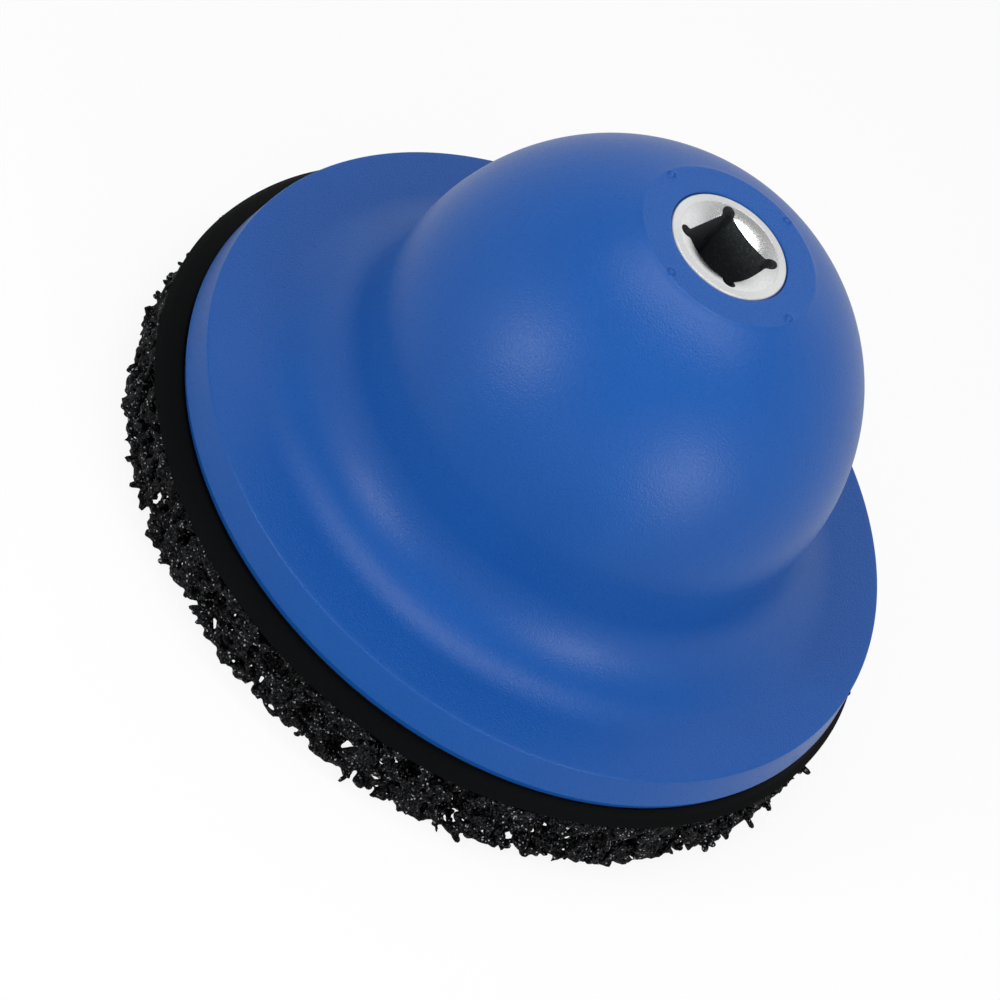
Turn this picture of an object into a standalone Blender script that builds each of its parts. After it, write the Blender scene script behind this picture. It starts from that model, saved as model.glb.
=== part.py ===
"""Hub-face grinding bell: a moulded bell with a square drive insert and a
hook-and-loop abrasive disc. Metres, +Z up. The drive axis is Z and the
abrasive face lies on Z = 0."""

import math

import bmesh
import bpy

MM = 0.001

# Gap kept between two pieces that touch.
GAP = 0.3 * MM

# Abrasive disc, from the working face up.
WEB_OUTER_R = 75.3 * MM
WEB_INNER_R = 43.5 * MM
WEB_TOP_Z = 12.0 * MM
FOAM_OUTER_R = 75.3 * MM
DISC_HOLE_R = 43.0 * MM
FOAM_THICK = 1.8 * MM
# The foam's outer edge slopes in towards the bell's rim.
FOAM_TOP_R = 72.9 * MM
LOOP_OUTER_R = 72.0 * MM
LOOP_THICK = 0.8 * MM

# Bell flange and rim.
RIM_BOTTOM_Z = 15.5 * MM
FLANGE_TOP_Z = 23.3 * MM
FLANGE_EDGE_R = 71.0 * MM
FLANGE_EDGE_ROUND = 0.5 * MM
# The rim's wall widens downwards to a short lip that leans back in.
RIM_R = 72.15 * MM
RIM_WIDEST_Z = 16.8 * MM
LIP_TAPER = 0.3 * MM
LIP_CHAMFER = 0.2 * MM
NECK_R = 46.6 * MM
NECK_FILLET = 14.5 * MM

# Dome and crown.
DOME_R = 46.3 * MM
DOME_CENTRE_Z = 44.8 * MM
CROWN_Z = 87.7 * MM
WALL = 4.0 * MM
MOUTH_CHAMFER = 0.5 * MM
PAD_R = 25.0 * MM
PAD_BOTTOM_Z = 76.0 * MM

# Hook tape and the recess that holds it.
RECESS_INNER_R = 45.0 * MM
RECESS_OUTER_R = 70.2 * MM
HOOK_THICK = 1.6 * MM

# Steel drive insert.
COLLAR_R = 11.7 * MM
COLLAR_CHAMFER = 0.45 * MM
FACE_INNER_R = 9.8 * MM
DISH_FLOOR_R = 6.2 * MM
DISH_DEPTH = 1.1 * MM
INSERT_FLANGE_R = 23.0 * MM
INSERT_FLANGE_THICK = 4.0 * MM
BARREL_R = 11.5 * MM
BARREL_CHAMFER = 0.4 * MM
INSERT_LENGTH = 21.8 * MM
SQUARE = 12.8 * MM
RELIEF_R = 1.27 * MM
RELIEF_REACH = 9.75 * MM

# Screws that hold the insert to the crown pad.
SCREW_COUNT = 4
SCREW_CIRCLE_R = 16.7 * MM
SHANK_R = 2.0 * MM
HEAD_R = 3.8 * MM
HEAD_HEIGHT = 2.6 * MM
HEAD_ROUND = 0.8 * MM
TIP_Z = 84.0 * MM
TIP_LENGTH = 1.4 * MM
TIP_R = 0.8 * MM
RECESS_ARM = 4.2 * MM
RECESS_WIDTH = 1.0 * MM
RECESS_DEPTH = 1.4 * MM

# Facets round a full turn.
BELL_STEPS = 64
RING_STEPS = 64
INSERT_STEPS = 48
SCREW_STEPS = 20


def make_material(name, colour, roughness, metallic=0.0):
    material = bpy.data.materials.new(name)
    material.use_nodes = True
    shader = material.node_tree.nodes["Principled BSDF"]
    shader.inputs["Base Color"].default_value = (*colour, 1.0)
    shader.inputs["Roughness"].default_value = roughness
    shader.inputs["Metallic"].default_value = metallic
    return material


def arc(centre_r, centre_z, radius, start_deg, end_deg, steps):
    """Points on an arc in the turning plane, 0 degrees along +X and 90 along +Z."""
    points = []
    for i in range(steps + 1):
        angle = math.radians(start_deg + (end_deg - start_deg) * i / steps)
        points.append((centre_r + radius * math.cos(angle), centre_z + radius * math.sin(angle)))
    return points


def turned(name, profile, steps, closed, material, collection):
    """Turn a profile of (radius, height) points about Z with a Screw modifier."""
    mesh = bpy.data.meshes.new(name)
    bm = bmesh.new()
    verts = [bm.verts.new((r, 0.0, z)) for r, z in profile]
    for a, b in zip(verts, verts[1:]):
        bm.edges.new((a, b))
    if closed:
        bm.edges.new((verts[-1], verts[0]))
    bm.to_mesh(mesh)
    bm.free()
    mesh.materials.append(material)
    piece = bpy.data.objects.new(name, mesh)
    collection.objects.link(piece)
    screw = piece.modifiers.new("Turn", 'SCREW')
    screw.axis = 'Z'
    screw.angle = math.tau
    screw.steps = steps
    screw.render_steps = steps
    screw.use_merge_vertices = True
    screw.merge_threshold = 0.00001
    screw.use_smooth_shade = True
    return piece


def as_cutter(cutter, collection):
    for owner in list(cutter.users_collection):
        owner.objects.unlink(cutter)
    collection.objects.link(cutter)
    cutter.hide_render = True
    cutter.display_type = 'WIRE'
    return cutter


def box_cutter(name, size, location, collection):
    bpy.ops.mesh.primitive_cube_add(size=1.0, location=location)
    cutter = bpy.context.object
    cutter.name = name
    for vert in cutter.data.vertices:
        vert.co.x *= size[0]
        vert.co.y *= size[1]
        vert.co.z *= size[2]
    return as_cutter(cutter, collection)


def round_cutter(name, radius, low_z, high_z, x, y, vertices, collection):
    bpy.ops.mesh.primitive_cylinder_add(vertices=vertices, radius=radius, depth=high_z - low_z,
                                        location=(x, y, (low_z + high_z) / 2))
    cutter = bpy.context.object
    cutter.name = name
    return as_cutter(cutter, collection)


def cut(piece, cutter):
    boolean = piece.modifiers.new(cutter.name, 'BOOLEAN')
    boolean.operation = 'DIFFERENCE'
    boolean.solver = 'EXACT'
    boolean.object = cutter


def ring(name, inner_r, outer_r, low_z, high_z, material, collection, top_r=None):
    """A flat ring, with its outer edge sloping in to top_r where that is given."""
    profile = [(inner_r, high_z), (top_r or outer_r, high_z), (outer_r, low_z), (inner_r, low_z)]
    return turned(name, profile, RING_STEPS, True, material, collection)


def screw_places():
    for i in range(SCREW_COUNT):
        angle = math.tau * i / SCREW_COUNT
        yield i + 1, SCREW_CIRCLE_R * math.cos(angle), SCREW_CIRCLE_R * math.sin(angle)


def build_bell(material, parts, cutters):
    crown_flat_deg = math.degrees(math.acos(math.sqrt(1.0 - ((CROWN_Z - DOME_CENTRE_Z) / DOME_R) ** 2)))
    inner_r = DOME_R - WALL
    pad_deg = math.degrees(math.acos(PAD_R / inner_r))
    hole_r = COLLAR_R + GAP
    profile = [(hole_r, CROWN_Z)]
    profile += arc(0.0, DOME_CENTRE_Z, DOME_R, crown_flat_deg, 0.0, 8)
    profile += arc(NECK_R + NECK_FILLET, FLANGE_TOP_Z + NECK_FILLET, NECK_FILLET, 180.0, 270.0, 5)
    profile += arc(FLANGE_EDGE_R - FLANGE_EDGE_ROUND, FLANGE_TOP_Z - FLANGE_EDGE_ROUND,
                   FLANGE_EDGE_ROUND, 90.0, 10.0, 2)
    lip_r = RIM_R - LIP_TAPER
    profile += [(RIM_R, RIM_WIDEST_Z), (lip_r, RIM_BOTTOM_Z + LIP_CHAMFER), (lip_r - LIP_CHAMFER, RIM_BOTTOM_Z)]
    recess_z = RIM_BOTTOM_Z + HOOK_THICK + GAP
    profile += [(RECESS_OUTER_R, RIM_BOTTOM_Z), (RECESS_OUTER_R, recess_z),
                (RECESS_INNER_R, recess_z), (RECESS_INNER_R, RIM_BOTTOM_Z)]
    profile += [(inner_r + MOUTH_CHAMFER, RIM_BOTTOM_Z), (inner_r, RIM_BOTTOM_Z + MOUTH_CHAMFER)]
    profile += arc(0.0, DOME_CENTRE_Z, inner_r, 0.0, pad_deg, 5)
    profile += [(PAD_R, PAD_BOTTOM_Z), (hole_r, PAD_BOTTOM_Z)]
    bell = turned("bell_housing", profile, BELL_STEPS, True, material, parts)
    for i, x, y in screw_places():
        cut(bell, round_cutter("pilot_hole_%d" % i, SHANK_R + GAP, PAD_BOTTOM_Z - 1.0 * MM, TIP_Z + 0.6 * MM,
                               x, y, 16, cutters))
    return bell


def build_insert(material, parts, cutters):
    flange_top = PAD_BOTTOM_Z - GAP
    flange_low = flange_top - INSERT_FLANGE_THICK
    bottom = CROWN_Z - INSERT_LENGTH
    profile = [
        (0.0, CROWN_Z - DISH_DEPTH), (DISH_FLOOR_R, CROWN_Z - DISH_DEPTH), (FACE_INNER_R, CROWN_Z),
        (COLLAR_R - COLLAR_CHAMFER, CROWN_Z), (COLLAR_R, CROWN_Z - COLLAR_CHAMFER),
        (COLLAR_R, flange_top), (INSERT_FLANGE_R, flange_top), (INSERT_FLANGE_R, flange_low),
        (BARREL_R, flange_low), (BARREL_R, bottom + BARREL_CHAMFER), (BARREL_R - BARREL_CHAMFER, bottom),
        (0.0, bottom),
    ]
    insert = turned("drive_insert", profile, INSERT_STEPS, False, material, parts)
    low, high = bottom - 2.0 * MM, CROWN_Z + 2.0 * MM
    cut(insert, box_cutter("socket_square", (SQUARE, SQUARE, high - low), (0.0, 0.0, (low + high) / 2), cutters))
    for i in range(4):
        angle = math.radians(45.0 + 90.0 * i)
        reach = RELIEF_REACH - RELIEF_R
        cut(insert, round_cutter("socket_relief_%d" % (i + 1), RELIEF_R, low, high,
                                 reach * math.cos(angle), reach * math.sin(angle), 16, cutters))
    for i, x, y in screw_places():
        cut(insert, round_cutter("flange_hole_%d" % i, SHANK_R + GAP, flange_low - 1.0 * MM, flange_top + 1.0 * MM,
                                 x, y, 16, cutters))
    return insert


def build_screws(material, parts, cutters):
    """One screw pointing up along Z, with a cross recess in its head, shared by every place."""
    head_top = PAD_BOTTOM_Z - 2 * GAP - INSERT_FLANGE_THICK
    head_low = head_top - HEAD_HEIGHT
    profile = [(0.0, TIP_Z), (TIP_R, TIP_Z), (SHANK_R, TIP_Z - TIP_LENGTH), (SHANK_R, head_top), (HEAD_R, head_top)]
    profile += arc(HEAD_R - HEAD_ROUND, head_low + HEAD_ROUND, HEAD_ROUND, 0.0, -90.0, 2)
    profile += [(0.0, head_low)]
    pattern = turned("screw_pattern", profile, SCREW_STEPS, False, material, cutters)
    recess_centre = (0.0, 0.0, head_low)
    cut(pattern, box_cutter("recess_x", (RECESS_ARM, RECESS_WIDTH, 2 * RECESS_DEPTH), recess_centre, cutters))
    cut(pattern, box_cutter("recess_y", (RECESS_WIDTH, RECESS_ARM, 2 * RECESS_DEPTH), recess_centre, cutters))
    bpy.context.view_layer.update()
    evaluated = pattern.evaluated_get(bpy.context.evaluated_depsgraph_get())
    mesh = bpy.data.meshes.new_from_object(evaluated)
    mesh.name = "insert_screw"
    bpy.data.objects.remove(pattern, do_unlink=True)
    screws = []
    for i, x, y in screw_places():
        piece = bpy.data.objects.new("insert_screw_%d" % i, mesh)
        piece.location = (x, y, 0.0)
        parts.objects.link(piece)
        screws.append(piece)
    return screws


def main():
    for old in list(bpy.data.objects):
        bpy.data.objects.remove(old, do_unlink=True)
    parts = bpy.data.collections.new("grinding_bell")
    cutters = bpy.data.collections.new("cutters")
    bpy.context.scene.collection.children.link(parts)
    bpy.context.scene.collection.children.link(cutters)

    blue = make_material("blue_plastic", (0.020, 0.110, 0.440), 0.38)
    steel = make_material("turned_steel", (0.62, 0.63, 0.65), 0.25, 1.0)
    zinc = make_material("zinc_screw", (0.48, 0.49, 0.50), 0.35, 1.0)
    hook = make_material("hook_tape", (0.012, 0.012, 0.013), 0.85)
    loop = make_material("loop_fleece", (0.020, 0.020, 0.022), 0.95)
    foam = make_material("black_foam", (0.004, 0.005, 0.006), 0.75)
    grit = make_material("abrasive_web", (0.008, 0.008, 0.009), 0.60)

    web_top = WEB_TOP_Z
    foam_low = web_top + GAP
    foam_top = foam_low + FOAM_THICK
    loop_low = foam_top + GAP
    loop_top = loop_low + LOOP_THICK

    disc = bpy.data.objects.new("disc_axis", None)
    disc.empty_display_size = 0.02
    parts.objects.link(disc)
    bell_axis = bpy.data.objects.new("bell_axis", None)
    bell_axis.empty_display_size = 0.02
    parts.objects.link(bell_axis)

    disc_pieces = [
        ring("abrasive_web", WEB_INNER_R, WEB_OUTER_R, 0.0, web_top, grit, parts),
        ring("foam_ring", DISC_HOLE_R, FOAM_OUTER_R, foam_low, foam_top, foam, parts, FOAM_TOP_R),
        ring("loop_ring", DISC_HOLE_R, LOOP_OUTER_R, loop_low, loop_top, loop, parts),
    ]
    bell_pieces = [
        ring("hook_ring", RECESS_INNER_R + GAP, RECESS_OUTER_R - GAP, RIM_BOTTOM_Z, RIM_BOTTOM_Z + HOOK_THICK,
             hook, parts),
        build_bell(blue, parts, cutters),
        build_insert(steel, parts, cutters),
    ]
    bell_pieces += build_screws(zinc, parts, cutters)
    for piece in disc_pieces:
        piece.parent = disc
    for piece in bell_pieces:
        piece.parent = bell_axis


main()
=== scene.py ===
"""Looks of the hub-face grinding bell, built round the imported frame. Metres, +Z up."""

import math

import bmesh
import bpy
import numpy as np
from mathutils import Matrix, Vector


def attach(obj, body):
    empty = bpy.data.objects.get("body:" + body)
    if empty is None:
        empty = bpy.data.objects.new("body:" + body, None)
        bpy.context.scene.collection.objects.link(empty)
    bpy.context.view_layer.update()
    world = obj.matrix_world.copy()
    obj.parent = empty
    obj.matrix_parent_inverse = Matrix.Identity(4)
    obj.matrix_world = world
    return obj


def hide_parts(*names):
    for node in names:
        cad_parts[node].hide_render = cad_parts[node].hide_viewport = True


MM = 0.001
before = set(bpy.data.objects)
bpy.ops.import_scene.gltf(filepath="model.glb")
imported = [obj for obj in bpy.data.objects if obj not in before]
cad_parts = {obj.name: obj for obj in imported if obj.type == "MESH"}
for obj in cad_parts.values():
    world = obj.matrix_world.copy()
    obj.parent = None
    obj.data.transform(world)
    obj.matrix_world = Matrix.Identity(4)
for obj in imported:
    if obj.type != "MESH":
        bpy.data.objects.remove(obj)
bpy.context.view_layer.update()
scene = bpy.context.scene

# ---------------------------------------------------------------- sizes, in millimetres
CROWN_Z = 87.7
DOME_R, DOME_Z = 46.3, 44.8
FLANGE_Z = 23.3
RIM_LOW = 15.5
RIM_WIDE_Z = 16.8
WALL = 4.0
PAD_R, PAD_Z = 25.0, 76.0
HOLE_R = 11.93
FOAM_LOW = 12.3
FOAM_TOP = 14.3
LOOP_TOP = 15.25
DISC_R = 75.3
DISC_HOLE = 43.0
# The stuck-on disc sits a little off the bell's axis.
RUN_OUT, RUN_OUT_AT = 1.36, math.radians(197.0)
MARK_R = 16.75


# ---------------------------------------------------------------- mesh helpers
def piece_from(name, verts, faces, material, smooth=True, sharp_deg=None):
    """A mesh object from arrays of vertices in millimetres and faces of one size, or a list of faces."""
    mesh = bpy.data.meshes.new(name)
    verts = np.asarray(verts, np.float64) * MM
    if isinstance(faces, np.ndarray):
        count, size = faces.shape
        mesh.vertices.add(len(verts))
        mesh.vertices.foreach_set("co", verts.astype(np.float32).ravel())
        mesh.loops.add(count * size)
        mesh.loops.foreach_set("vertex_index", faces.astype(np.int32).ravel())
        mesh.polygons.add(count)
        mesh.polygons.foreach_set("loop_start", np.arange(0, count * size, size, dtype=np.int32))
    else:
        mesh.from_pydata([tuple(v) for v in verts], [], faces)
    mesh.update(calc_edges=True)
    mesh.validate()
    if smooth:
        mesh.shade_smooth()
    if sharp_deg is not None:
        mesh.set_sharp_from_angle(angle=math.radians(sharp_deg))
    mesh.materials.append(material)
    obj = bpy.data.objects.new(name, mesh)
    scene.collection.objects.link(obj)
    return obj


def arc(cr, cz, radius, start, end, steps):
    a = np.radians(np.linspace(start, end, steps + 1))
    return [(cr + radius * math.cos(t), cz + radius * math.sin(t)) for t in a]


def line(a, b, steps):
    return [(a[0] + (b[0] - a[0]) * i / steps, a[1] + (b[1] - a[1]) * i / steps) for i in range(1, steps + 1)]


def lathe(profile, angles, closed=True):
    """Vertices (profile x angle grid) and quads of a turned profile that runs down its outer side."""
    prof = np.asarray(profile, float)
    n, m = len(prof), len(angles)
    ca, sa = np.cos(angles), np.sin(angles)
    v = np.empty((n, m, 3))
    v[:, :, 0] = prof[:, :1] * ca
    v[:, :, 1] = prof[:, :1] * sa
    v[:, :, 2] = prof[:, 1:2]
    i = np.arange(n if closed else n - 1)
    j = np.arange(m)
    a = (i[:, None] * m + j[None, :])
    b = (i[:, None] * m + (j[None, :] + 1) % m)
    i2 = (i + 1) % n
    c = (i2[:, None] * m + (j[None, :] + 1) % m)
    d = (i2[:, None] * m + j[None, :])
    return v, np.stack([d, c, b, a], -1).reshape(-1, 4)


def even_angles(m):
    return np.arange(m) * (2 * math.pi / m)


# ---------------------------------------------------------------- material helpers
class Nodes:
    """A material's node tree with short calls for the nodes used here."""

    def __init__(self, name):
        self.material = bpy.data.materials.new(name)
        self.material.use_nodes = True
        self.tree = self.material.node_tree
        self.bsdf = self.tree.nodes["Principled BSDF"]
        self.coord = self.tree.nodes.new("ShaderNodeTexCoord").outputs["Object"]

    def link(self, a, b):
        self.tree.links.new(a, b)

    def new(self, kind, **values):
        node = self.tree.nodes.new(kind)
        for key, value in values.items():
            setattr(node, key, value)
        return node

    def noise(self, scale, detail=2.0, rough=0.5, vector=None):
        n = self.new("ShaderNodeTexNoise")
        n.inputs["Scale"].default_value = scale
        n.inputs["Detail"].default_value = detail
        n.inputs["Roughness"].default_value = rough
        self.link(vector or self.coord, n.inputs["Vector"])
        return n.outputs["Fac"]

    def voronoi(self, scale, output="Distance", feature="F1", vector=None):
        n = self.new("ShaderNodeTexVoronoi", feature=feature)
        n.inputs["Scale"].default_value = scale
        self.link(vector or self.coord, n.inputs["Vector"])
        return n.outputs[output]

    def map(self, value, low, high, to_low, to_high, smooth=False):
        n = self.new("ShaderNodeMapRange", clamp=True)
        if smooth:
            n.interpolation_type = "SMOOTHSTEP"
        for key, x in zip(("From Min", "From Max", "To Min", "To Max"), (low, high, to_low, to_high)):
            n.inputs[key].default_value = x
        self.link(value, n.inputs["Value"])
        return n.outputs["Result"]

    def math(self, op, a, b=None):
        n = self.new("ShaderNodeMath", operation=op)
        for i, x in enumerate((a, b)):
            if x is None:
                continue
            if isinstance(x, (int, float)):
                n.inputs[i].default_value = x
            else:
                self.link(x, n.inputs[i])
        return n.outputs["Value"]

    def mix(self, fac, a, b):
        n = self.new("ShaderNodeMix", data_type="RGBA")
        ins = [s for s in n.inputs if s.enabled]
        self.link(fac, ins[0])
        for socket, x in ((ins[1], a), (ins[2], b)):
            if isinstance(x, tuple):
                socket.default_value = (*x, 1.0)
            else:
                self.link(x, socket)
        return [s for s in n.outputs if s.enabled][0]

    def bump(self, height, strength, distance, normal=None):
        n = self.new("ShaderNodeBump")
        n.inputs["Distance"].default_value = distance
        if isinstance(strength, (int, float)):
            n.inputs["Strength"].default_value = strength
        else:
            self.link(strength, n.inputs["Strength"])
        self.link(height, n.inputs["Height"])
        if normal is not None:
            self.link(normal, n.inputs["Normal"])
        return n.outputs["Normal"]

    def xyz(self):
        n = self.new("ShaderNodeSeparateXYZ")
        self.link(self.coord, n.inputs["Vector"])
        return n.outputs["X"], n.outputs["Y"], n.outputs["Z"]

    def radius(self):
        x, y, _ = self.xyz()
        return self.math("SQRT", self.math("ADD", self.math("MULTIPLY", x, x), self.math("MULTIPLY", y, y)))

    def set(self, **values):
        names = {"rough": "Roughness", "metal": "Metallic", "spec": "Specular IOR Level", "ior": "IOR",
                 "aniso": "Anisotropic", "coat": "Coat Weight", "coat_rough": "Coat Roughness",
                 "sheen": "Sheen Weight", "sheen_rough": "Sheen Roughness", "colour": "Base Color", "normal": "Normal"}
        for key, value in values.items():
            socket = self.bsdf.inputs[names[key]]
            if isinstance(value, tuple):
                socket.default_value = (*value, 1.0)
            elif isinstance(value, (int, float)):
                socket.default_value = value
            else:
                self.link(value, socket)
        return self.material


def blue_plastic():
    """Satin moulded plastic with a spark-eroded grain, smoother on the crown's flat land."""
    t = Nodes("blue_satin_plastic")
    radius = t.radius()
    _, _, z = t.xyz()
    land = t.math("MULTIPLY", t.map(radius, 0.0169, 0.0175, 1.0, 0.0, True), t.map(z, 0.0868, 0.0872, 0.0, 1.0))
    grain = t.math("ADD", t.math("MULTIPLY", t.noise(2500.0, 1.5, 0.55), 0.65), t.math("MULTIPLY", t.noise(4200.0, 1.0, 0.5), 0.35))
    strength = t.map(land, 0.0, 1.0, 0.85, 0.15)
    normal = t.bump(grain, strength, 0.00012)
    cloud = t.noise(38.0, 3.0, 0.55)
    tint = t.mix(t.map(cloud, 0.3, 0.7, 0.0, 1.0), (0.0066, 0.083, 0.352), (0.0074, 0.089, 0.370))
    pale = t.mix(t.map(grain, 0.50, 0.72, 0.0, 0.20), tint, (0.029, 0.134, 0.45))
    colour = t.mix(t.map(grain, 0.28, 0.48, 0.18, 0.0), pale, (0.004, 0.065, 0.300))
    rough = t.math("ADD", t.map(grain, 0.3, 0.7, 0.25, 0.38), t.math("MULTIPLY", land, -0.03))
    return t.set(colour=colour, rough=rough, spec=0.26, normal=normal)


def turned_steel():
    """Bright turned face: fine concentric tool marks and a soft circular sheen."""
    t = Nodes("turned_steel")
    radius = t.radius()
    rings = t.new("ShaderNodeTexNoise", noise_dimensions="1D")
    rings.inputs["Scale"].default_value = 5200.0
    rings.inputs["Detail"].default_value = 2.0
    t.link(radius, rings.inputs["W"])
    blotch = t.noise(1900.0, 2.0, 0.6)
    height = t.math("ADD", t.math("MULTIPLY", rings.outputs["Fac"], 0.85), t.math("MULTIPLY", blotch, 0.15))
    normal = t.bump(height, 0.25, 0.00002)
    colour = t.mix(t.map(blotch, 0.35, 0.7, 0.0, 1.0), (0.78, 0.785, 0.79), (0.72, 0.725, 0.73))
    # The flat rim is matt and the dish inside it is smoother.
    matt = t.map(radius, 0.0099, 0.01005, 0.0, 0.14)
    rough = t.math("ADD", t.map(blotch, 0.3, 0.75, 0.23, 0.31), matt)
    tangent = t.new("ShaderNodeTangent", direction_type="RADIAL", axis="Z")
    t.link(tangent.outputs["Tangent"], t.bsdf.inputs["Tangent"])
    return t.set(colour=colour, rough=rough, metal=1.0, aniso=0.5, normal=normal)


def dark_steel():
    """Grainy dark phosphate on the socket's walls and the insert's hidden parts, with small paler flecks that are
    painted glints of its crystals.
    """
    t = Nodes("dark_phosphate")
    grain = t.noise(1700.0, 3.0, 0.65)
    normal = t.bump(grain, 0.5, 0.00006)
    glint_cells = t.new("ShaderNodeSeparateColor")
    t.link(t.voronoi(3600.0, "Color"), glint_cells.inputs["Color"])
    base = t.mix(t.map(grain, 0.35, 0.7, 0.0, 1.0), (0.020, 0.025, 0.028), (0.040, 0.047, 0.050))
    # Painted glints: a few cells are made paler in the colour to stand for the sparkle of the phosphate crystals.
    colour = t.mix(t.map(glint_cells.outputs["Red"], 0.80, 1.0, 0.0, 1.0), base, (0.070, 0.078, 0.082))
    return t.set(colour=colour, rough=t.map(grain, 0.3, 0.7, 0.5, 0.68), spec=0.4, normal=normal)


def zinc():
    t = Nodes("zinc_plate")
    blotch = t.noise(900.0, 3.0, 0.6)
    colour = t.mix(t.map(blotch, 0.3, 0.7, 0.0, 1.0), (0.52, 0.53, 0.55), (0.62, 0.62, 0.60))
    return t.set(colour=colour, rough=t.map(blotch, 0.3, 0.7, 0.26, 0.42), metal=1.0,
                 normal=t.bump(blotch, 0.15, 0.00002))


def foam():
    """Closed-cell black foam with a fine skin of cut pores."""
    t = Nodes("black_foam")
    cells = t.voronoi(3800.0)
    dust = t.noise(1400.0, 3.0, 0.6)
    normal = t.bump(cells, 0.3, 0.00005)
    colour = t.mix(t.map(dust, 0.4, 0.75, 0.0, 1.0), (0.0007, 0.0010, 0.0012), (0.0019, 0.0024, 0.0028))
    return t.set(colour=colour, rough=t.map(dust, 0.3, 0.7, 0.62, 0.76), spec=0.07, normal=normal)


def fleece():
    t = Nodes("loop_fleece")
    fuzz = t.noise(2600.0, 4.0, 0.7)
    colour = t.mix(t.map(fuzz, 0.35, 0.7, 0.0, 1.0), (0.006, 0.006, 0.007), (0.022, 0.023, 0.025))
    return t.set(colour=colour, rough=0.9, spec=0.2, sheen=0.25, sheen_rough=0.5, normal=t.bump(fuzz, 0.6, 0.0001))


def hook_plastic():
    t = Nodes("hook_plastic")
    n = t.noise(1500.0, 2.0, 0.5)
    colour = t.mix(t.map(n, 0.3, 0.7, 0.0, 1.0), (0.008, 0.008, 0.009), (0.016, 0.016, 0.018))
    return t.set(colour=colour, rough=t.map(n, 0.3, 0.7, 0.4, 0.55), spec=0.4, normal=t.bump(n, 0.2, 0.00003))


def web_grit():
    """Resin-coated strands set with crushed grit: black, lumpy, with grey grains and a few bright flecks that are
    painted glints of the grit's facets.
    """
    t = Nodes("grit_web")
    cell = t.new("ShaderNodeTexVoronoi", feature="F1")
    cell.inputs["Scale"].default_value = 3500.0
    t.link(t.coord, cell.inputs["Vector"])
    geometry = t.new("ShaderNodeNewGeometry")
    tilt = t.new("ShaderNodeVectorMath", operation="MULTIPLY_ADD")
    t.link(cell.outputs["Color"], tilt.inputs[0])
    tilt.inputs[1].default_value = (1.1, 1.1, 1.1)
    tilt.inputs[2].default_value = (-0.55, -0.55, -0.55)
    turn = t.new("ShaderNodeVectorMath", operation="ADD")
    t.link(geometry.outputs["Normal"], turn.inputs[0])
    t.link(tilt.outputs["Vector"], turn.inputs[1])
    unit = t.new("ShaderNodeVectorMath", operation="NORMALIZE")
    t.link(turn.outputs["Vector"], unit.inputs[0])
    lumps = t.noise(1500.0, 3.0, 0.62)
    normal = t.bump(lumps, 0.8, 0.0004, unit.outputs["Vector"])
    split = t.new("ShaderNodeSeparateColor")
    t.link(cell.outputs["Color"], split.inputs["Color"])
    base = t.mix(t.map(lumps, 0.35, 0.7, 0.0, 1.0), (0.0007, 0.0007, 0.0009), (0.0029, 0.0030, 0.0036))
    grey = t.mix(t.map(split.outputs["Red"], 0.55, 0.95, 0.0, 1.0), base, (0.036, 0.037, 0.040))
    # Painted glints: the rarest cells are made nearly white in the colour, standing for grit facets that catch the
    # light.
    colour = t.mix(t.map(split.outputs["Red"], 0.955, 0.985, 0.0, 1.0), grey, (0.38, 0.40, 0.44))
    rough = t.map(split.outputs["Green"], 0.0, 1.0, 0.42, 0.75)
    return t.set(colour=colour, rough=rough, spec=0.07, normal=normal)


M_BLUE, M_STEEL, M_DARK, M_ZINC = blue_plastic(), turned_steel(), dark_steel(), zinc()
M_FOAM, M_FLEECE, M_HOOK, M_WEB = foam(), fleece(), hook_plastic(), web_grit()


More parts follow.
